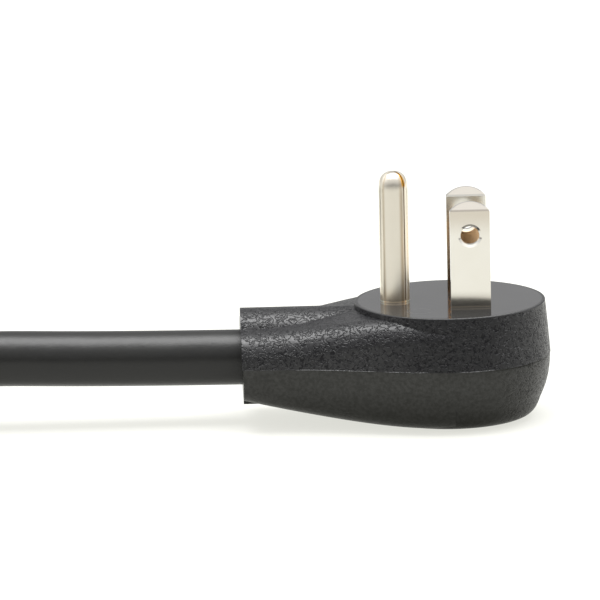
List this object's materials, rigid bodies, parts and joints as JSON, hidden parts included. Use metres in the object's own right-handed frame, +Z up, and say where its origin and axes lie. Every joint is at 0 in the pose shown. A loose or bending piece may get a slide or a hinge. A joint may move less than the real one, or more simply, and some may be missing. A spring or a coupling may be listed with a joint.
{
  "type": "y-splitter power cord",
  "caption": "Short three-core power cord with a flat right-angle plug, a moulded yoke and two branch leads that end in outlets.",
  "frame": {"origin": "under the middle of the plug, on the surface that it lies on", "axes": "+X from the cord towards the plug's head, +Y across the plug, +Z up along the prongs"},
  "size_m": [0.2893, 0.115, 0.0404],
  "materials": {
    "housing": "black flexible vinyl with a leather-like grain",
    "insert": "smooth black moulded plastic",
    "prong": "nickel-plated brass",
    "jacket": "black vinyl cord jacket, slightly shiny",
    "line_core": "black core insulation with a bared copper tip",
    "neutral_core": "white core insulation with a bared copper tip",
    "ground_core": "green core insulation with a bared copper tip",
    "contact": "formed spring brass",
    "splice": "tinned copper crimp sleeve"
  },
  "bodies": {
    "root": {"branch_a_cord": "jacket", "branch_a_ground_wire": "ground_core", "branch_a_line_wire": "line_core", "branch_a_neutral_wire": "neutral_core", "branch_b_cord": "jacket", "branch_b_ground_wire": "ground_core", "branch_b_line_wire": "line_core", "branch_b_neutral_wire": "neutral_core", "ground_pin": "prong", "ground_splice": "splice", "line_blade": "prong", "line_splice": "splice", "neutral_blade": "prong", "neutral_splice": "splice", "outlet_a_face_block": "insert", "outlet_a_ground_contact": "contact", "outlet_a_ground_wire": "ground_core", "outlet_a_housing": "housing", "outlet_a_line_contact": "contact", "outlet_a_line_wire": "line_core", "outlet_a_neutral_contact": "contact", "outlet_a_neutral_wire": "neutral_core", "outlet_b_face_block": "insert", "outlet_b_ground_contact": "contact", "outlet_b_ground_wire": "ground_core", "outlet_b_housing": "housing", "outlet_b_line_contact": "contact", "outlet_b_line_wire": "line_core", "outlet_b_neutral_contact": "contact", "outlet_b_neutral_wire": "neutral_core", "plug_ground_wire": "ground_core", "plug_housing": "housing", "plug_line_wire": "line_core", "plug_neutral_wire": "neutral_core", "prong_insert": "insert", "trunk_cord": "jacket", "yoke_ground_wire": "ground_core", "yoke_housing": "housing", "yoke_line_wire": "line_core", "yoke_neutral_wire": "neutral_core"}
  },
  "joints": []
}
